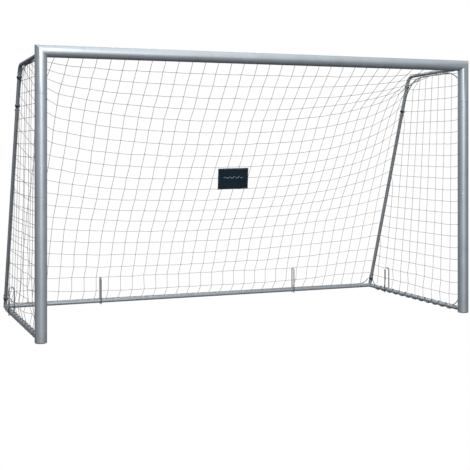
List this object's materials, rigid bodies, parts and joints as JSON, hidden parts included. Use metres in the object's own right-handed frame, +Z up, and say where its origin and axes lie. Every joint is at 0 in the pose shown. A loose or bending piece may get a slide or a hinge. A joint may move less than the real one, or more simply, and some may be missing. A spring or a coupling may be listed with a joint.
{
  "type": "football goal",
  "caption": "Free-standing garden football goal: large steel tube posts and crossbar, slim sloping rear frame, square-mesh net laced on with rope, and ground pegs.",
  "frame": {"origin": "on the ground, in the middle of the goal's footprint", "axes": "+X along the crossbar to the right, +Y to the back of the net, +Z up; the goal opens towards -Y"},
  "size_m": [2.9, 1.2758, 1.68],
  "materials": {
    "frame_tube": "satin silver coat on steel tube",
    "rear_tube": "satin silver coat on steel tube",
    "foot_caps": "moulded grey",
    "zinc_fasteners": "bright zinc plate",
    "net": "white knotted polyethylene twine",
    "label": "woven dark petrol cloth",
    "rope": "dark grey braided polyester"
  },
  "bodies": {
    "frame": {"corner_left": "frame_tube", "corner_right": "frame_tube", "crossbar_left": "frame_tube", "crossbar_middle": "frame_tube", "crossbar_right": "frame_tube", "post_upper_left": "frame_tube", "post_upper_right": "frame_tube", "post_lower_left": "frame_tube", "post_lower_right": "frame_tube", "foot_cap_left": "foot_caps", "foot_cap_right": "foot_caps", "side_arm_left": "rear_tube", "side_arm_right": "rear_tube", "rear_strut_left": "rear_tube", "rear_strut_right": "rear_tube", "rear_corner_left": "rear_tube", "rear_corner_right": "rear_tube", "side_bar_left": "rear_tube", "side_bar_right": "rear_tube", "rear_bar_left": "rear_tube", "rear_bar_middle": "rear_tube", "rear_bar_right": "rear_tube", "bolt_arm_front_left": "zinc_fasteners", "bolt_side_bar_front_left": "zinc_fasteners", "bolt_strut_top_left": "zinc_fasteners", "bolt_strut_foot_left": "zinc_fasteners", "bolt_side_bar_rear_left": "zinc_fasteners", "bolt_rear_bar_end_left": "zinc_fasteners", "bolt_rear_bar_inner_left": "zinc_fasteners", "bolt_arm_front_right": "zinc_fasteners", "bolt_side_bar_front_right": "zinc_fasteners", "bolt_strut_top_right": "zinc_fasteners", "bolt_strut_foot_right": "zinc_fasteners", "bolt_side_bar_rear_right": "zinc_fasteners", "bolt_rear_bar_end_right": "zinc_fasteners", "bolt_rear_bar_inner_right": "zinc_fasteners", "net_roof": "net", "net_back": "net", "net_left": "net", "net_right": "net", "net_label": "label", "rope_side_left": "rope", "rope_side_right": "rope", "rope_ground_left": "rope", "rope_ground_right": "rope", "rope_rear": "rope", "rope_crossbar": "rope"},
    "button_post_top_left": {"snap_button_post_top_left": "zinc_fasteners"},
    "button_post_middle_left": {"snap_button_post_middle_left": "zinc_fasteners"},
    "button_crossbar_end_left": {"snap_button_crossbar_end_left": "zinc_fasteners"},
    "button_crossbar_inner_left": {"snap_button_crossbar_inner_left": "zinc_fasteners"},
    "button_post_top_right": {"snap_button_post_top_right": "zinc_fasteners"},
    "button_post_middle_right": {"snap_button_post_middle_right": "zinc_fasteners"},
    "button_crossbar_end_right": {"snap_button_crossbar_end_right": "zinc_fasteners"},
    "button_crossbar_inner_right": {"snap_button_crossbar_inner_right": "zinc_fasteners"},
    "peg_left": {"peg_left": "zinc_fasteners"},
    "peg_right": {"peg_right": "zinc_fasteners"},
    "peg_rear_left": {"peg_rear_left": "zinc_fasteners"},
    "peg_rear_right": {"peg_rear_right": "zinc_fasteners"}
  },
  "joints": [
    {"name": "button_post_top_left_press", "type": "slide", "parent": "frame", "child": "button_post_top_left", "axis": [-0.7071, 0.7071, 0], "range_m": [0, 0.0045], "stiffness_N_per_m": 1200, "springref_m": -0.002},
    {"name": "button_post_middle_left_press", "type": "slide", "parent": "frame", "child": "button_post_middle_left", "axis": [-0.7071, 0.7071, 0], "range_m": [0, 0.0045], "stiffness_N_per_m": 1200, "springref_m": -0.002},
    {"name": "button_crossbar_end_left_press", "type": "slide", "parent": "frame", "child": "button_crossbar_end_left", "axis": [0, -1, 0], "range_m": [0, 0.0045], "stiffness_N_per_m": 1200, "springref_m": -0.002},
    {"name": "button_crossbar_inner_left_press", "type": "slide", "parent": "frame", "child": "button_crossbar_inner_left", "axis": [0, -1, 0], "range_m": [0, 0.0045], "stiffness_N_per_m": 1200, "springref_m": -0.002},
    {"name": "button_post_top_right_press", "type": "slide", "parent": "frame", "child": "button_post_top_right", "axis": [0.7071, 0.7071, 0], "range_m": [0, 0.0045], "stiffness_N_per_m": 1200, "springref_m": -0.002},
    {"name": "button_post_middle_right_press", "type": "slide", "parent": "frame", "child": "button_post_middle_right", "axis": [0.7071, 0.7071, 0], "range_m": [0, 0.0045], "stiffness_N_per_m": 1200, "springref_m": -0.002},
    {"name": "button_crossbar_end_right_press", "type": "slide", "parent": "frame", "child": "button_crossbar_end_right", "axis": [0, -1, 0], "range_m": [0, 0.0045], "stiffness_N_per_m": 1200, "springref_m": -0.002},
    {"name": "button_crossbar_inner_right_press", "type": "slide", "parent": "frame", "child": "button_crossbar_inner_right", "axis": [0, -1, 0], "range_m": [0, 0.0045], "stiffness_N_per_m": 1200, "springref_m": -0.002},
    {"name": "peg_left_slide", "type": "slide", "parent": "frame", "child": "peg_left", "axis": [0, 0, 1], "range_m": [-0.14, 0.17]},
    {"name": "peg_right_slide", "type": "slide", "parent": "frame", "child": "peg_right", "axis": [0, 0, 1], "range_m": [-0.14, 0.17]},
    {"name": "peg_rear_left_slide", "type": "slide", "parent": "frame", "child": "peg_rear_left", "axis": [0, 0, 1], "range_m": [-0.14, 0.17]},
    {"name": "peg_rear_right_slide", "type": "slide", "parent": "frame", "child": "peg_rear_right", "axis": [0, 0, 1], "range_m": [-0.14, 0.17]}
  ]
}
